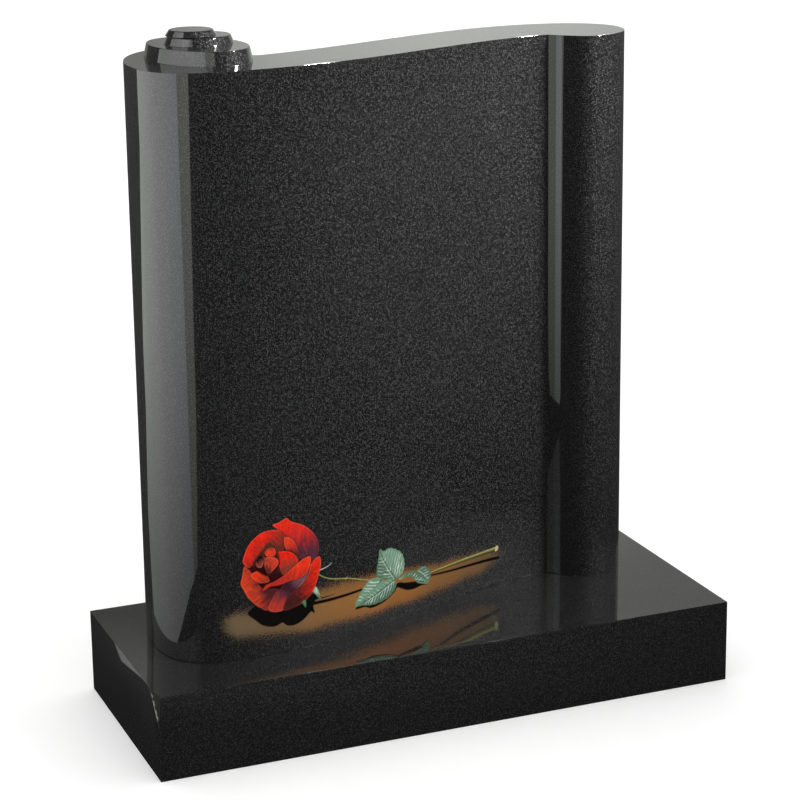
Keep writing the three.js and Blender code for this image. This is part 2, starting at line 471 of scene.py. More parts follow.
granite = {
    "crystal": 1250, "grit": 2100,     # coarse and fine crystals to a metre
    "crystalShare": 0.65,              # how much the coarse ones count
    "waver": 700, "waverBy": 0.0004,   # makes the crystals' outlines uneven
    "cloud": 24, "cloudBy": 0.06,      # broad, faint unevenness
    # tones of the crystals from the commonest to the rarest, with the share each starts at
    "tones": [(0.15, 0.005), (0.50, 0.008), (0.75, 0.013), (0.92, 0.026)],
    "metal": 0.35,                     # how far the common crystals gleam like metal
    "speck": 0.050, "speckFrom": 0.82,  # the crystals that gleam in full
    "crystalRough": 0.6,
    "polishRough": 0.03, "polishIndex": 1.55,
    "sawnRough": 0.78, "sawnDust": (0.16, 0.16, 0.155, 1), "sawnDusty": 0.55,
    "sawMarks": 60, "sawMarked": 0.35,
    "brokenRough": 0.7, "brokenShine": 0.25,
    "brokenTones": [(0.0, (0.005, 0.005, 0.005)), (0.7, (0.014, 0.013, 0.012)), (1.0, (0.05, 0.05, 0.048))],
    "bruisedTones": [(0.0, (0.05, 0.05, 0.048)), (1.0, (0.34, 0.33, 0.31))],
}


# Adds a node, sets its fields and its inputs, and links whatever is given as a socket
def addNode(tree, kind, inputs=None, **fields):
    made = tree.nodes.new(kind)
    for field, value in fields.items():
        setattr(made, field, value)
    for key, value in (inputs or {}).items():
        if isinstance(value, bpy.types.NodeSocket):
            tree.links.new(value, made.inputs[key])
        else:
            made.inputs[key].default_value = value
    return made


# Where a spot is on the piece, in metres
def placeOn(tree):
    return addNode(tree, "ShaderNodeTexCoord").outputs["Object"]


def ramp(tree, factor, stops):
    made = addNode(tree, "ShaderNodeValToRGB", {"Fac": factor})
    elements = made.color_ramp.elements
    while len(elements) < len(stops):
        elements.new(0.5)
    for element, (position, colour) in zip(elements, stops):
        element.position = position
        element.color = colour if len(colour) == 4 else (*colour, 1)
    return made.outputs["Color"]


def grey(value):
    return (value, value, value, 1)


def mixColour(tree, factor, first, second, blend="MIX"):
    return addNode(tree, "ShaderNodeMix", {0: factor, 6: first, 7: second}, data_type="RGBA",
                   blend_type=blend).outputs[2]


def calculate(tree, operation, *values, clamp=False):
    return addNode(tree, "ShaderNodeMath", dict(enumerate(values)), operation=operation,
                   use_clamp=clamp).outputs[0]


# The stone's crystals below the polish: their colour and how far they gleam like metal
def graniteLook(tree):
    place = placeOn(tree)
    waver = addNode(tree, "ShaderNodeTexNoise", {"Vector": place, "Scale": granite["waver"], "Detail": 2.0})
    shifted = addNode(tree, "ShaderNodeVectorMath",
                      {0: waver.outputs["Color"], 1: (granite["waverBy"],) * 3}, operation="MULTIPLY")
    bent = addNode(tree, "ShaderNodeVectorMath", {0: place, 1: shifted.outputs[0]},
                   operation="ADD").outputs[0]
    coarse = crystalsOf(tree, bent, granite["crystal"])
    fine = crystalsOf(tree, bent, granite["grit"])
    cloud = addNode(tree, "ShaderNodeTexNoise", {"Vector": place, "Scale": granite["cloud"], "Detail": 2.0})
    cloudBy = granite["cloudBy"]
    drift = calculate(tree, "MULTIPLY_ADD", cloud.outputs["Fac"], cloudBy, -cloudBy / 2)
    kind = calculate(tree, "ADD", calculate(tree, "MULTIPLY", coarse["Red"], granite["crystalShare"]),
                     calculate(tree, "MULTIPLY", fine["Red"], 1 - granite["crystalShare"]))
    kind = calculate(tree, "ADD", kind, drift)
    tones = ramp(tree, kind, [(at, grey(tone)) for at, tone in granite["tones"]])
    specks = ramp(tree, coarse["Green"], [(granite["speckFrom"], grey(0)), (1.0, grey(1))])
    metal = mixColour(tree, specks, grey(granite["metal"]), grey(1))
    return mixColour(tree, specks, tones, grey(granite["speck"])), metal


# Crystals of one size, each with a random value of its own in three channels
def crystalsOf(tree, place, scale):
    crystals = addNode(tree, "ShaderNodeTexVoronoi", {"Vector": place, "Scale": scale})
    return addNode(tree, "ShaderNodeSeparateColor", {"Color": crystals.outputs["Color"]}).outputs


def newMaterial(name):
    material = bpy.data.materials.new(name)
    material.use_nodes = True
    tree = material.node_tree
    return material, tree, tree.nodes["Principled BSDF"]


def polishedGranite():
    material, tree, shader = newMaterial("polishedGranite")
    colour, metal = graniteLook(tree)
    tree.links.new(colour, shader.inputs["Base Color"])
    tree.links.new(metal, shader.inputs["Metallic"])
    shader.inputs["Roughness"].default_value = granite["crystalRough"]
    addPolish(shader)
    return material


# The clear polish over the crystals
def addPolish(shader):
    shader.inputs["Specular IOR Level"].default_value = 0.0
    shader.inputs["Coat Weight"].default_value = 1.0
    shader.inputs["Coat Roughness"].default_value = granite["polishRough"]
    shader.inputs["Coat IOR"].default_value = granite["polishIndex"]


# The underside, as the saw left it
def sawnGranite():
    material, tree, shader = newMaterial("sawnGranite")
    colour, _ = graniteLook(tree)
    marks = addNode(tree, "ShaderNodeTexWave",
                    {"Vector": placeOn(tree), "Scale": granite["sawMarks"], "Distortion": 1.5, "Detail": 2.0})
    dust = mixColour(tree, granite["sawnDusty"], colour, granite["sawnDust"])
    dust = mixColour(tree, granite["sawMarked"], dust, marks.outputs["Color"], "MULTIPLY")
    tree.links.new(dust, shader.inputs["Base Color"])
    shader.inputs["Roughness"].default_value = granite["sawnRough"]
    addBumps(tree, shader, marks.outputs["Fac"], 0.3, 0.0004)
    return material


def addBumps(tree, shader, height, strength, distance):
    bumps = addNode(tree, "ShaderNodeBump", {"Height": height, "Strength": strength, "Distance": distance})
    tree.links.new(bumps.outputs["Normal"], shader.inputs["Normal"])


# Where the corner broke away the stone is dull; bruised where the break meets the left face
def brokenGranite(name, tones):
    material, tree, shader = newMaterial(name)
    kind = crystalsOf(tree, placeOn(tree), granite["crystal"])["Red"]
    tree.links.new(ramp(tree, kind, tones), shader.inputs["Base Color"])
    shader.inputs["Roughness"].default_value = granite["brokenRough"]
    shader.inputs["Specular IOR Level"].default_value = granite["brokenShine"]
    addBumps(tree, shader, kind, 0.5, 0.0006)
    return material


stoneMaterial = polishedGranite()
tabletStone.data.materials.append(stoneMaterial)
for material in (stoneMaterial, brokenGranite("brokenGranite", granite["brokenTones"]), sawnGranite(),
                 brokenGranite("bruisedGranite", granite["bruisedTones"])):
    plinthStone.data.materials.append(material)
for face in plinthStone.data.polygons:
    if face.normal.z < -0.999:
        face.material_index = sawn
print("granite laid on the tablet and the plinth")


# The painted rose: a thin film on the panel. Places are millimetres along the panel's face from the
# left roll's foremost line, and up from the tablet's foot

rose = {
    "grid": 0.75,
    "left": -60, "right": 428, "low": 1, "high": 178,
    "stands": 0.1,       # how far the film stands off the stone
    "turnedIn": 0.5,     # how deep its edge is turned back into the stone
    "leastCover": 0.004, "leastSpray": 0.012,  # paint thinner than this has no film
    # the spray thins out into dots: how many to a metre, how dense, how sharp, how thick
    "dots": 760, "dotsGap": 0.75, "dotsDense": 1.45, "dotsSharp": 2.4, "sprayLeast": 0.42, "sprayMore": 0.55,
    "brushMarks": 1300, "brushDark": 0.86,
    # colours of the paint, each channel from 0 to 255; the petals have theirs in their own list
    "shadow": (17, 16, 15), "petalOutline": (58, 16, 16), "petalRim": (255, 128, 96),
    "leafPale": (212, 228, 216), "leafMiddle": (112, 150, 124), "leafDark": (50, 80, 62),
    "leafRim": (128, 172, 116), "stemLight": (178, 180, 112), "stemMiddle": (118, 120, 66),
    "stemDark": (52, 56, 30), "cutEnd": (206, 206, 150), "tendril": (196, 206, 200),
    "thorn": (170, 172, 110), "sepal": (84, 128, 84),
    # the glow from the left to the right: where along the face, and its colour there
    "glow": [(-40, (116, 98, 76)), (40, (124, 98, 68)), (120, (148, 104, 60)), (200, (158, 104, 54)),
             (310, (134, 96, 56)), (410, (108, 88, 64))],
    "leafSaw": 0.9, "leafVeins": 5.6,  # how deep the saw edge is, and how far apart the side veins
}


def linear(*values):
    v = np.array(values, dtype=float) / 255
    return np.where(v <= 0.04045, v / 12.92, ((v + 0.055) / 1.055) ** 2.4)


# Smooth curves from each point to the one after it, with their neighbours on both sides
def curved(before, at, after, later, steps):
    out = []
    for t in np.linspace(0, 1, steps, endpoint=False):
        out.append(0.5 * (2 * at + (after - before) * t + (2 * before - 5 * at + 4 * after - later) * t * t
                          + (3 * at - before - 3 * after + later) * t ** 3))
    return np.stack(out, axis=1).reshape(-1, 2)


def closedCurve(points, steps=7):
    p = np.array(points, dtype=float)
    return curved(np.roll(p, 1, 0), p, np.roll(p, -1, 0), np.roll(p, -2, 0), steps)


def openCurve(points, steps=10):
    p = np.array(points, dtype=float)
    p = np.vstack([2 * p[0] - p[1], p, 2 * p[-1] - p[-2]])
    return np.vstack([curved(p[:-3], p[1:-2], p[2:-1], p[3:], steps), p[-2]])


# Distance from every spot to a line of points, and which spots a closed line holds
def distanceTo(line, spots, closed=True):
    best = np.full(len(spots), 1e9)
    inside = np.zeros(len(spots), dtype=bool)
    ends = np.roll(line, -1, 0) if closed else line[1:]
    for a, b in zip(line if closed else line[:-1], ends):
        run = b - a
        share = np.clip(((spots - a) @ run) / max(run @ run, 1e-12), 0, 1)
        best = np.minimum(best, np.hypot(*(spots - a - share[:, None] * run).T))
        if closed and a[1] != b[1]:
            crosses = (a[1] > spots[:, 1]) != (b[1] > spots[:, 1])
            inside ^= crosses & (spots[:, 0] < (b[0] - a[0]) * (spots[:, 1] - a[1]) / (b[1] - a[1]) + a[0])
    return best, inside


def smoothStep(low, high, value):
    t = np.clip((value - low) / (high - low), 0, 1)
    return t * t * (3 - 2 * t)


# A sheet of paint: linear colour and cover at every spot of the grid
class PaintSheet:
    def __init__(self):
        self.across = np.arange(rose["left"], rose["right"] + 1e-6, rose["grid"])
        self.up = np.arange(rose["low"], rose["high"] + 1e-6, rose["grid"])
        a, h = np.meshgrid(self.across, self.up)
        self.spots = np.c_[a.ravel(), h.ravel()]
        self.colour = np.zeros((len(self.spots), 3))
        self.cover = np.zeros(len(self.spots))
        self.spray = np.zeros(len(self.spots))
        self.sprayColour = np.zeros((len(self.spots), 3))

    def near(self, line, margin):
        low, high = line.min(0) - margin, line.max(0) + margin
        return np.where(np.all((self.spots > low) & (self.spots < high), axis=1))[0]

    def lay(self, where, amount, colour):
        amount = amount[:, None]
        self.colour[where] = self.colour[where] * (1 - amount) + colour * amount
        self.cover[where] = self.cover[where] * (1 - amount[:, 0]) + amount[:, 0]

    # A filled shape; shade gives its colour from the spots and their distance inside the edge
    def shape(self, points, shade, soft=0.5, amount=1.0, sharp=False, grow=0.0):
        line = np.array(points, dtype=float) if sharp else closedCurve(points)
        where = self.near(line, 3)
        distance, inside = distanceTo(line, self.spots[where])
        signed = np.where(inside, distance, -distance) + grow
        self.lay(where, smoothStep(-soft, soft, signed) * amount, shade(self.spots[where], signed))

    # A brush stroke along an open line, its width given at both ends
    def stroke(self, points, startWidth, endWidth, shade, soft=0.45, amount=1.0):
        line = openCurve(points)
        where = self.near(line, max(startWidth, endWidth) + 3)
        spots = self.spots[where]
        distance, _ = distanceTo(line, spots, False)
        nearest = np.argmin(np.hypot(*(spots[:, None] - line[None]).transpose(2, 0, 1)), 1)
        half = (startWidth + (endWidth - startWidth) * nearest / (len(line) - 1)) / 2
        side = spots[:, 1] - line[nearest, 1]
        self.lay(where, smoothStep(-soft, soft, half - distance) * amount, shade(spots, side / half))


# Smooth grain in both directions, from 0 to 1, the same each run
def grain(spots, size, seed):
    table = np.random.default_rng(seed).random((64, 64))
    u, v = spots[:, 0] / size, spots[:, 1] / size
    i, j = np.floor(u).astype(int), np.floor(v).astype(int)
    s, t = u - i, v - j
    s, t = s * s * (3 - 2 * s), t * t * (3 - 2 * t)
    i0, i1, j0, j1 = i % 64, (i + 1) % 64, j % 64, (j + 1) % 64
    return ((table[i0, j0] * (1 - s) + table[i1, j0] * s) * (1 - t)
            + (table[i0, j1] * (1 - s) + table[i1, j1] * s) * t)


# A petal's shade: bright at its lip, deep towards its root, with a thin light edge
def petalShade(lip, root, lipColour, rootColour, edge=0.6, seed=1):
    lip, root = np.array(lip, dtype=float), np.array(root, dtype=float)
    run = root - lip
    aside, length = np.array([-run[1], run[0]]), np.linalg.norm(run)
    bright, deep = linear(*lipColour), linear(*rootColour)
    rimColour = linear(*rose["petalRim"])

    def shade(spots, inward):
        t = ((spots - lip) @ run) / (run @ run)
        veins = grain(np.c_[spots @ run * 0.25, spots @ aside] / length, 2.4, seed)
        t = smoothStep(0.0, 0.95, t + (veins - 0.5) * 0.36 + (grain(spots, 3.1, seed + 5) - 0.5) * 0.14)
        colour = bright * (1 - t)[:, None] + deep * t[:, None]
        streaks = grain(np.c_[spots @ run * 0.10, spots @ aside] / length, 1.1, seed + 13)
        colour = colour * ((0.70 + 0.30 * grain(spots, 1.5, seed + 9)) * (0.78 + 0.34 * streaks))[:, None]
        rim = 0.8 * edge * smoothStep(1.0, 0.1, np.abs(inward)) * (1 - 0.85 * t)
        return colour * (1 - rim)[:, None] + rimColour * rim[:, None]
    return shade


def flatShade(name):
    value = linear(*rose[name])
    return lambda spots, inward: np.tile(value, (len(spots), 1))


# Petals from the back of the bloom to its front: outline, lip, root, colours at both, light edge
petals = [
    ([(-7, 120), (-2, 138), (17, 154), (36, 156), (62, 140), (88, 114), (88, 88), (73, 68), (47, 58),
      (23, 61), (2, 77), (-9, 99)], (40, 150), (40, 80), (70, 20, 22), (46, 14, 18), 0),
    ([(31, 166), (40, 168), (49, 171.5), (56, 166), (74, 157), (88, 143), (93.5, 129), (91, 115),
      (80, 109), (67, 117), (61, 128), (55, 141), (46, 148), (37, 160)],
     (66, 164), (70, 118), (240, 50, 34), (92, 48, 62), 0.7),
    ([(-8.5, 125), (-5, 137), (0, 146), (8, 153.5), (17, 158.5), (28, 160), (38, 158), (45, 153),
      (49, 146), (48, 138), (40, 130), (28, 140), (18, 135), (9, 127), (4, 120), (-2, 117)],
     (8, 156), (36, 126), (246, 44, 28), (112, 52, 44), 0.7),
    ([(46, 147), (53, 146), (59, 140), (63, 131), (65, 121), (55, 124), (47, 134)],
     (55, 147), (56, 120), (240, 66, 38), (92, 42, 48), 0.6),
    ([(-7, 119), (-10, 106), (-12, 97), (-8, 88), (-3, 78), (5, 69), (13, 62.5), (20, 58.5), (26, 62),
      (32, 72), (36, 82), (26, 85), (15, 88), (8, 97), (2, 109), (-2, 114)],
     (-9, 84), (22, 96), (232, 74, 40), (88, 40, 44), 0.55),
    ([(22, 60), (27, 71), (34, 80), (46, 84), (58, 83), (53, 71), (48, 63), (43, 55.5), (36, 54),
      (28, 55)], (34, 52), (48, 82), (206, 66, 52), (84, 46, 58), 0.5),
    ([(94.5, 113), (95.5, 101), (92, 90), (88, 79), (82, 69), (75, 63), (66, 58.5), (56, 55.5),
      (46, 53.5), (42.5, 57), (47, 67), (56, 76), (66, 81), (74, 87), (78, 96), (82, 106), (88, 112)],
     (97, 90), (54, 76), (240, 48, 32), (76, 36, 36), 0.8),
    ([(40, 84), (50, 91), (61, 91), (70, 94), (78, 100), (72, 86), (60, 78), (50, 77)],
     (66, 92), (52, 78), (128, 84, 96), (66, 34, 44), 0.2),
    ([(33, 122), (44, 131), (60, 124), (66, 112), (60, 98), (44, 92), (30, 98), (26, 110)],
     (58, 118), (30, 100), (110, 52, 56), (48, 18, 24), 0),
    ([(35, 129), (42, 130.5), (52, 128), (60, 122), (63.5, 114), (61, 106), (53, 102), (44, 100),
      (40, 106), (37, 117)], (46, 131), (50, 101), (255, 34, 22), (146, 62, 48), 0.55),
    ([(81, 116), (80, 105), (74, 95.5), (65, 91.5), (52, 90.5), (42, 88.5), (33, 88), (25, 88),
      (15.5, 84), (20, 90.5), (31, 93.5), (42, 98), (52, 104), (62, 110), (71, 115)],
     (66, 113), (56, 88), (255, 60, 34), (196, 52, 40), 0.8),
    ([(0.5, 106), (7, 110), (15, 109.5), (21, 104), (24.5, 95), (14, 94.5), (7, 98)],
     (6, 108), (20, 94), (250, 62, 30), (170, 66, 44), 0.7),
    ([(5, 123), (12, 132), (18, 139), (26, 146), (34, 139), (37, 128), (38, 114), (30, 105), (21, 103),
      (12, 109), (6, 115)], (22, 146), (22, 106), (96, 50, 38), (34, 12, 16), 0.35),
    ([(20, 134), (27, 138), (33, 135), (33, 128), (26, 126), (21, 129)],
     (27, 131), (24, 143), (238, 66, 40), (84, 58, 40), 0.5),
    ([(8, 124), (13, 130), (19, 127), (17, 119), (14, 114.5), (9, 117)],
     (16, 116), (10, 127), (150, 70, 56), (20, 14, 18), 0.7),
    ([(19, 124), (27, 126), (35, 122), (37, 116), (32, 110), (24, 104.5), (20, 111)],
     (33, 118), (19, 110), (226, 66, 44), (120, 58, 46), 0.8),
    ([(22, 121), (26, 113), (24, 105.5), (20, 111), (19, 118)],
     (24, 120), (22, 108), (200, 60, 44), (96, 40, 34), 0.9),
]

bloomShadow = [(-4.5, 57.5), (0, 63), (7, 66.5), (20, 60), (46, 55), (68, 58), (79, 65), (88, 69),
               (92, 62), (86, 57), (94, 55), (84, 53), (85.5, 42), (80, 44.5), (73, 39), (65.5, 34.5),
               (56, 32), (47, 33.5), (40.5, 38.5), (35, 36.5), (26.5, 35.5), (14, 40), (6, 47)]
leafShadow = [(147, 31.5), (152, 35), (183, 34), (203, 39), (216, 49), (229, 46), (246, 43), (267, 37),
              (268, 33), (258, 34.5), (245, 33.5), (232.5, 35), (222, 40), (215, 43), (210, 38),
              (197.5, 31.5), (187, 28.5), (171.5, 27), (161.5, 31)]


# A leaf from its base to its tip: a saw edge, a pale ground, a dark fold and paler side veins
def paintLeaf(sheet, base, tip, lobes, seed, glow):
    base, tip = np.array(base, dtype=float), np.array(tip, dtype=float)
    run = tip - base
    length = np.linalg.norm(run)
    run /= length
    aside = np.array([-run[1], run[0]])
    outline = closedCurve(lobes, 9)
    saw = np.abs((np.arange(len(outline)) % 6) - 3) / 3 - 0.5
    out = outline - outline.mean(0)
    outline = outline + out / np.linalg.norm(out, axis=1)[:, None] * saw[:, None] * rose["leafSaw"]
    pale, middle, dark, rim = (linear(*rose["leaf" + tone]) for tone in ("Pale", "Middle", "Dark", "Rim"))

    def shade(spots, inward):
        u = (spots - base) @ run / length
        v = (spots - base) @ aside
        v = v - 2.2 * np.sin(u * 2.6)
        slant = u * length - np.abs(v) * 0.9
        veins = 0.5 + 0.5 * np.cos(slant * 2 * math.pi / rose["leafVeins"] + grain(spots, 5, seed) * 3.4)
        patch = smoothStep(0.2, 0.8, grain(spots, 6.5, seed + 1))
        light = smoothStep(0.45, 1.0, veins) * smoothStep(0.5, 4.5, inward) * (0.25 + 0.75 * patch)
        fold = smoothStep(1.3, 0.2, np.abs(v)) * smoothStep(1.02, 0.8, u)
        body = smoothStep(0.0, 1.0, 0.60 - 0.08 * v + 0.6 * (grain(spots, 5, seed + 2) - 0.5))
        colour = dark + (middle - dark) * (0.35 + 0.65 * body)[:, None]
        colour = colour + (pale - colour) * (light * glow)[:, None]
        beside = 0.5 * smoothStep(1.2, 0.2, np.abs(v - 1.6)) * smoothStep(1.0, 0.5, u)
        colour = colour + (pale - colour) * beside[:, None]
        colour = colour + (dark * 0.7 - colour) * (0.8 * fold)[:, None]
        edge = smoothStep(1.3, 0.0, inward)
        return colour + (rim - colour) * (0.65 * edge)[:, None]
    sheet.shape(outline, shade, 0.45, sharp=True)


def stemShade(spots, side):
    light, middle, dark = (linear(*rose["stem" + tone]) for tone in ("Light", "Middle", "Dark"))
    t = smoothStep(-1, 0.9, side)
    colour = dark + (middle - dark) * smoothStep(0, 0.5, t)[:, None]
    colour = colour + (light - colour) * smoothStep(0.5, 1, t)[:, None]
    return colour * (0.8 + 0.4 * grain(spots, 1.3, 40))[:, None]


# The brown glow the rose lies on: centre and reach of the band along the face, strength and colour
def paintGlow(sheet):
    along, up = sheet.spots.T
    at = [-54, -38, -18, 60, 120, 180, 240, 300, 360, 400, 426]
    centre = np.interp(along, at, [46, 45, 43, 41, 44, 44, 40, 38, 38, 40, 42])
    above = np.interp(along, at, [16, 22, 28, 38, 38, 34, 28, 24, 22, 20, 16])
    below = np.interp(along, at, [16, 21, 26, 29, 32, 32, 30, 27, 24, 20, 16])
    strength = np.interp(along, at, [0, 0.30, 0.70, 0.80, 0.84, 0.94, 0.90, 0.80, 0.66, 0.36, 0])
    reach = (up - centre) / np.where(up > centre, above, below)
    cloud = 0.85 + 0.3 * grain(sheet.spots, 26, 80)
    sheet.spray = strength * np.clip((1.08 * np.exp(-1.5 * reach * reach) - 0.05) * cloud, 0, 1)
    places = [place for place, _ in rose["glow"]]
    stops = [linear(*colour) for _, colour in rose["glow"]]
    sheet.sprayColour = np.stack([np.interp(along, places, channel) for channel in zip(*stops)], 1)


# Leaves from the back to the front: base, tip, outline, seed of the grain, how strong the pale veins
leaves = [
    ((212, 56), (187, 101), [(182, 64.5), (181.5, 76), (184, 88), (187, 101), (193, 97.5), (203, 99),
      (213, 95), (223, 88), (227.5, 78), (228, 68), (224.5, 60), (216, 55.5), (208, 55.5),
      (194, 60)], 60, 1),
    ((190, 60), (146, 36), [(146, 36), (150, 46), (160, 58), (170, 65), (182, 65), (192, 59.5), (184, 54),
      (172, 47), (162, 41)], 62, 1),
    ((211, 55), (147, 36), [(146.5, 35.8), (161, 43), (171, 50), (186, 57), (202, 58), (210.5, 54),
      (213, 46), (208, 39), (197.5, 33.5), (183, 31), (169.5, 31.5), (157.5, 34.5)], 64, 1),
    ((250, 55), (269, 35), [(249.5, 55), (256.5, 59.5), (265, 58.5), (274, 49.5), (274, 42), (269, 34.5),
      (264, 40), (257, 46)], 66, 0.8),
    ((216, 53), (268, 34), [(216, 53), (228.5, 58.5), (243.5, 58), (254.5, 50.5), (265, 42), (268.5, 34),
      (258, 37), (249.5, 41), (243, 48), (234.5, 52.5), (224.5, 52.5)], 68, 0.9),
]


def paintRose():
    sheet = PaintSheet()
    paintGlow(sheet)
    # shadows
    black = flatShade("shadow")
    sheet.stroke([(84, 54.5), (112, 54), (135, 54.5), (158, 55.5)], 4.6, 3.0, black)
    sheet.stroke([(84, 60), (100, 59), (116, 60)], 2.4, 0.6, black)
    sheet.stroke([(266, 44.5), (302, 41), (333, 39.2), (366, 37.8), (397, 36.2)], 2.2, 4.4, black)
    sheet.shape(bloomShadow, black, 0.6)
    sheet.shape(leafShadow, black, 0.6)
    # stems, the cut end, a tendril and a thorn
    sheet.stroke([(90, 92), (100, 85), (113, 79.8), (138, 74.4), (168, 64.5), (184, 60)],
                 1.7, 2.8, stemShade)
    sheet.stroke([(262, 47), (302, 48), (333, 48.6), (364, 48.9), (394, 49.6)], 2.8, 5.4, stemShade)
    cutEnd = [(391, 46.6), (394.5, 46.2), (397, 49.4), (396, 52.8), (392.5, 53)]
    sheet.shape(cutEnd, flatShade("cutEnd"), 0.5)
    sheet.stroke([(92, 95.5), (104, 97.8), (112, 101.4)], 1.5, 0.7, flatShade("tendril"))
    sheet.stroke([(132, 75), (136, 79)], 1.2, 0.5, flatShade("thorn"))
    sheet.shape([(83, 71), (87.5, 76), (92, 69), (94.5, 61), (93, 57), (88, 65)],
                petalShade((90, 72), (92, 58), (176, 206, 178), (70, 116, 74), 0.3, 3), 0.5)
    # each petal over its own dark outline
    for number, (outline, lip, root, lipColour, rootColour, edge) in enumerate(petals):
        sheet.shape(outline, flatShade("petalOutline"), 0.7, 0.8, grow=0.9)
        sheet.shape(outline, petalShade(lip, root, lipColour, rootColour, edge, number + 20), 0.42)
    sheet.shape([(68, 60), (73, 61), (73, 52), (70, 56)], flatShade("sepal"), 0.5)
    for base, tip, outline, seed, glow in leaves:
        paintLeaf(sheet, base, tip, outline, seed, glow)
    return sheet


# Lays the painted sheet on the panel as a film, cut down to where there is paint
def makeRose():
    sheet = paintRose()
    plan = tabletPlan()
    closed, run = closedRun(plan)
    side = outwardNormals(plan)
    at = np.mod(sheet.across, run[-1])
    place = valuesAt(at, run, closed)
    out = valuesAt(at, run, np.vstack([side, side[:1]]))
    out /= np.linalg.norm(out, axis=1)[:, None]
    columns, rows = len(sheet.across), len(sheet.up)
    painted = (sheet.cover > rose["leastCover"]) | (sheet.spray > rose["leastSpray"])
    painted = painted.reshape(rows, columns)
    cells = painted[:-1, :-1] | painted[1:, :-1] | painted[:-1, 1:] | painted[1:, 1:]
    row, column = np.where(cells)
    corners = np.stack([row * columns + column, row * columns + column + 1,
                        (row + 1) * columns + column + 1, (row + 1) * columns + column], 1)
    used, faces = np.unique(corners, return_inverse=True)
    faces = faces.reshape(corners.shape)
    usedColumn, usedRow = used % columns, used // columns

    def stand(off):
        flat = place[usedColumn] + out[usedColumn] * off
        return np.c_[flat, tablet["foot"] + sheet.up[usedRow]]

    # edges that only one cell has are turned back into the stone
    edges = np.vstack([faces[:, [i, (i + 1) % 4]] for i in range(4)])
    keys = {}
    for a, b in edges.tolist():
        keys[(a, b)] = True
    border = [(a, b) for a, b in keys if (b, a) not in keys]
    rim = sorted({i for edge in border for i in edge})
    below = {i: len(used) + n for n, i in enumerate(rim)}
    points = np.vstack([stand(rose["stands"]), stand(-rose["turnedIn"])[rim]])
    skirt = [(b, a, below[a], below[b]) for a, b in border]
    mesh = bpy.data.meshes.new("paintedRose")
    mesh.from_pydata((points * mm).tolist(), [], faces.tolist() + skirt)
    mesh.polygons.foreach_set("use_smooth", [True] * len(mesh.polygons))
    flat = np.c_[out[usedColumn], np.zeros(len(used))]
    flat = np.vstack([flat, flat[rim]])
    mesh.normals_split_custom_set_from_vertices(flat.tolist())
    pick = np.r_[used, used[rim]]
    layers = (("paint", sheet.colour, sheet.cover), ("spray", sheet.sprayColour, sheet.spray))
    for name, colour, amount in layers:
        layer = mesh.attributes.new(name, "FLOAT_COLOR", "POINT")
        layer.data.foreach_set("color", np.c_[colour[pick], amount[pick]].astype(np.float32).ravel())
    return addObject("paintedRose", mesh)


def paintMaterial():
    material, tree, shader = newMaterial("paintedRose")
    colour, metal = graniteLook(tree)
    place = placeOn(tree)
    spray = addNode(tree, "ShaderNodeAttribute", attribute_name="spray")
    fine = addNode(tree, "ShaderNodeTexNoise", {"Vector": place, "Scale": rose["dots"], "Detail": 2.0,
                                                "Roughness": 0.7}).outputs["Fac"]
    dots = addNode(tree, "ShaderNodeMapRange", {"Value": fine, "From Min": 0.3, "From Max": 0.7}).outputs[0]
    density = spray.outputs["Alpha"]
    gap = calculate(tree, "MULTIPLY", dots,
                    calculate(tree, "MULTIPLY_ADD", density, -rose["dotsGap"], 1.0))
    speckled = calculate(tree, "MULTIPLY_ADD", density, rose["dotsDense"],
                         calculate(tree, "MULTIPLY", gap, -1.0))
    sprayed = calculate(tree, "MULTIPLY", speckled, rose["dotsSharp"], clamp=True)
    thickness = calculate(tree, "MULTIPLY_ADD", density, rose["sprayMore"], rose["sprayLeast"], clamp=True)
    sprayed = calculate(tree, "MULTIPLY", sprayed, thickness)
    paint = addNode(tree, "ShaderNodeAttribute", attribute_name="paint")
    colour = mixColour(tree, sprayed, colour, spray.outputs["Color"])
    brushed = addNode(tree, "ShaderNodeTexNoise",
                      {"Vector": place, "Scale": rose["brushMarks"], "Detail": 3.0})
    texture = ramp(tree, brushed.outputs["Fac"], [(0.3, grey(rose["brushDark"])), (0.7, grey(1.0))])
    strokes = mixColour(tree, 1.0, paint.outputs["Color"], texture, "MULTIPLY")
    colour = mixColour(tree, paint.outputs["Alpha"], colour, strokes)
    covered = calculate(tree, "MAXIMUM", paint.outputs["Alpha"], sprayed)
    bare = calculate(tree, "SUBTRACT", 1.0, covered, clamp=True)
    tree.links.new(colour, shader.inputs["Base Color"])
    tree.links.new(calculate(tree, "MULTIPLY", metal, bare), shader.inputs["Metallic"])
    shader.inputs["Roughness"].default_value = granite["crystalRough"]
    addPolish(shader)
    # the paint lies over the polish, so the polish shows only where there is no paint
    tree.links.new(bare, shader.inputs["Coat Weight"])
    return material


paintedRose = makeRose()
paintedRose.data.materials.append(paintMaterial())
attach(paintedRose, "root")
print("rose:", len(paintedRose.data.polygons), "faces of paint")


# Floor, lights and camera

studio = {
    "floorColour": (0.96, 0.96, 0.955, 1),
    "floorHalf": 40, "floorLift": 0.16,  # the lift keeps the floor white close to the stone
    "air": 1.05,                # light from all round
    "seen": 1.0,                # what the camera sees behind the floor
    "keyPower": 45,
    "keyPlace": (2.37, -1.68, 2.98),
    "keyAim": (0.36, 0.0, 0.90),
    "keySize": 0.8,
    "keySpread": 20,            # degrees
    "softBox": 2.85, "softBoxAt": -0.44,
    "backdrop": 1.1,
    # how bright the air shows in the polish, from straight down to straight up
    "mirroredAir": [(0.30, 0.02), (0.38, 0.04), (0.46, 0.08), (0.5, 0.10)],
}


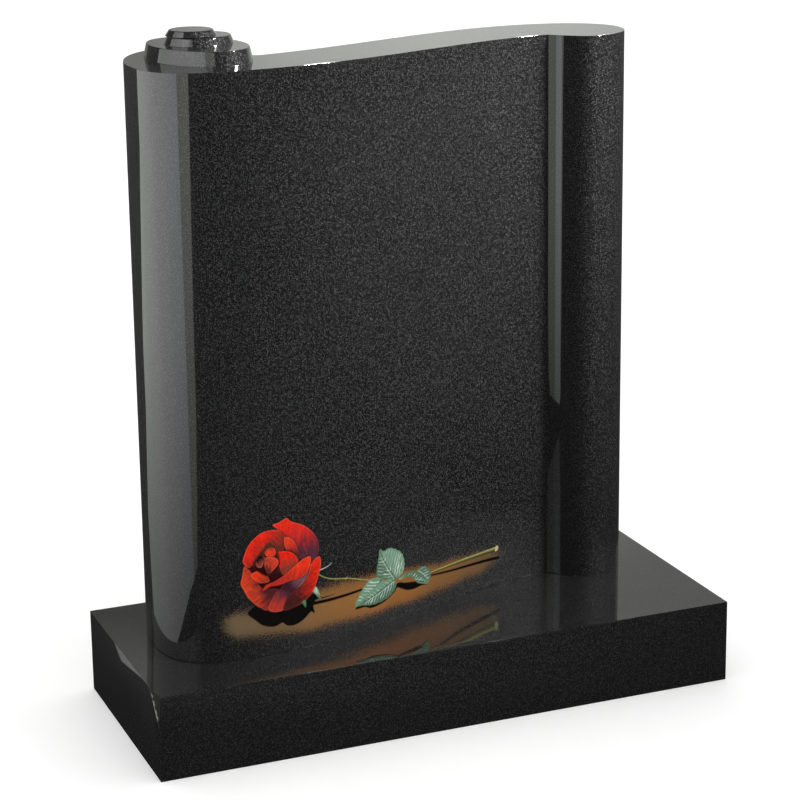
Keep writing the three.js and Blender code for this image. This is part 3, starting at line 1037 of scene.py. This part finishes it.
def addPlane(name, corners, material):
    mesh = bpy.data.meshes.new(name)
    mesh.from_pydata(corners, [], [tuple(range(len(corners)))])
    mesh.materials.append(material)
    plane = addObject(name, mesh)
    return plane


# A glowing panel that only shows as a reflection in the polish. Each fade runs along one axis: the
# axis, where it starts and ends in metres, and the colours on its way
def addGlow(name, corners, strength, fades):
    material, tree, shader = newMaterial(name)
    axes = addNode(tree, "ShaderNodeSeparateXYZ", {"Vector": placeOn(tree)})
    colour = None
    for axis, low, high, stops in fades:
        share = addNode(tree, "ShaderNodeMapRange",
                        {"Value": axes.outputs[axis], "From Min": low, "From Max": high}).outputs[0]
        faded = ramp(tree, share, [((at - low) / (high - low), tint) for at, tint in stops])
        colour = faded if colour is None else mixColour(tree, 1.0, colour, faded, "MULTIPLY")
    shader.inputs["Base Color"].default_value = (0, 0, 0, 1)
    tree.links.new(colour, shader.inputs["Emission Color"])
    shader.inputs["Emission Strength"].default_value = strength
    panel = addPlane(name, corners, material)
    panel.visible_camera = False
    panel.visible_diffuse = False
    panel.visible_shadow = False


floorMaterial, _, floorShader = newMaterial("paleFloor")
floorShader.inputs["Base Color"].default_value = studio["floorColour"]
floorShader.inputs["Roughness"].default_value = 0.9
floorShader.inputs["Specular IOR Level"].default_value = 0.1
floorShader.inputs["Emission Color"].default_value = studio["floorColour"]
floorShader.inputs["Emission Strength"].default_value = studio["floorLift"]
half = studio["floorHalf"]
corners = [(-half, -half, 0), (half, -half, 0), (half, half, 0), (-half, half, 0)]
floor = addPlane("floor", corners, floorMaterial)
floor.visible_glossy = False

# Soft box close by at the left, with a dim olive rim at its front and a slanted lower edge: its
# outline as places along Y and up
softBoxEdge = [(0.15, 1.12), (0.155, 0.7), (0.26, 0.42), (0.256, 0.33), (0.322, 0.17), (0.294, 0.099),
               (0.277, 0.056), (0.244, 0.036), (0.207, 0.019), (0.114, 0.046), (0.016, 0.072),
               (-0.025, 0.077), (-0.096, 0.116), (-0.156, 0.139), (-0.257, 0.146), (-0.3, 0.25),
               (-0.334, 0.34), (-0.34, 0.43), (-0.374, 0.573), (-0.421, 0.75), (-0.53, 1.12)]
addGlow("softBox", [(studio["softBoxAt"], y, z) for y, z in softBoxEdge], studio["softBox"], [
    ("Y", -0.55, 0.35, [(-0.40, (0.54, 0.55, 0.50)), (-0.206, (0.49, 0.50, 0.45)),
                        (-0.204, (0.84, 0.90, 0.94)), (-0.06, grey(1)), (0.02, grey(0.90)),
                        (0.12, (0.58, 0.62, 0.58)), (0.26, (0.44, 0.46, 0.42))]),
    ("Z", 0.0, 1.2, [(0.04, grey(0.27)), (0.15, grey(0.33)), (0.25, grey(0.45)), (0.35, grey(0.60)),
                     (0.50, grey(0.80)), (0.70, grey(0.94)), (1.0, grey(1))]),
])
# Pale wall behind, which shows in the tops
wall = [(-2.0, 6.5, 0.2), (9.0, 4.0, 0.2), (9.0, 4.0, 5.5), (-2.0, 6.5, 5.5)]
addGlow("backdrop", wall, studio["backdrop"], [
    ("X", -2.0, 9.0, [(1.3, (0.26, 0.26, 0.24)), (1.8, (0.62, 0.64, 0.60)), (2.4, (0.73, 0.75, 0.70)),
                      (2.9, (0.70, 0.72, 0.68)), (3.3, (0.58, 0.60, 0.57))]),
    ("Z", 0.0, 5.0, [(1.9, grey(1)), (2.3, grey(0.68))]),
])


# The air: pale to the eye and to the floor, dim in the polish, a little brighter higher up
def addAir():
    world = bpy.data.worlds.new("studioAir")
    bpy.context.scene.world = world
    world.use_nodes = True
    tree = world.node_tree
    background = tree.nodes["Background"]
    direction = addNode(tree, "ShaderNodeTexCoord").outputs["Generated"]
    height = addNode(tree, "ShaderNodeSeparateXYZ", {"Vector": direction}).outputs["Z"]
    level = addNode(tree, "ShaderNodeMapRange", {"Value": height, "From Min": -1.0, "From Max": 1.0})
    dim = ramp(tree, level.outputs[0], [(at, grey(tone)) for at, tone in studio["mirroredAir"]])
    path = addNode(tree, "ShaderNodeLightPath")
    seen = mixColour(tree, path.outputs["Is Camera Ray"], grey(studio["air"]), grey(studio["seen"]))
    colour = mixColour(tree, path.outputs["Is Glossy Ray"], seen, dim)
    tree.links.new(colour, background.inputs["Color"])


addAir()


def addLamp(name, place, target, power, size, spread):
    data = bpy.data.lights.new(name, "AREA")
    data.shape = "DISK"
    data.size = size
    data.energy = power
    data.spread = math.radians(spread)
    lamp = addObject(name, data)
    lamp.location = place
    lamp.visible_diffuse = False  # it only makes the crystals and the arrises gleam
    lamp.rotation_euler = (Vector(target) - Vector(place)).to_track_quat("-Z", "Y").to_euler()


addLamp("keyLight", studio["keyPlace"], studio["keyAim"], studio["keyPower"], studio["keySize"],
        studio["keySpread"])

camera = {
    "azimuth": -22.0447, "elevation": 14.3641, "roll": -0.7191,  # degrees
    "distance": 3.05714, "aside": -0.006858, "raised": 0.47244,  # metres
    "lens": 105.92, "shiftUp": -0.1,
}


def addCamera():
    azimuth = math.radians(camera["azimuth"])
    elevation = math.radians(camera["elevation"])
    roll = math.radians(camera["roll"])
    back = Vector((math.sin(azimuth) * math.cos(elevation), -math.cos(azimuth) * math.cos(elevation),
                   math.sin(elevation)))
    right = Vector((math.cos(azimuth), math.sin(azimuth), 0))
    up = back.cross(right)
    place = right * camera["aside"] + up * camera["raised"] + back * camera["distance"]
    rightRolled = right * math.cos(roll) + up * math.sin(roll)
    upRolled = up * math.cos(roll) - right * math.sin(roll)
    data = bpy.data.cameras.new("photoCamera")
    data.sensor_width = 36
    data.lens = camera["lens"]
    data.shift_y = camera["shiftUp"]
    data.clip_end = 200
    eye = addObject("photoCamera", data)
    matrix = Matrix.Identity(4)
    for row in range(3):
        matrix[row][0], matrix[row][1] = rightRolled[row], upRolled[row]
        matrix[row][2], matrix[row][3] = back[row], place[row]
    eye.matrix_world = matrix
    bpy.context.scene.camera = eye


addCamera()

bpy.context.scene.view_settings.view_transform = "Standard"
print("studio: floor, light and camera")
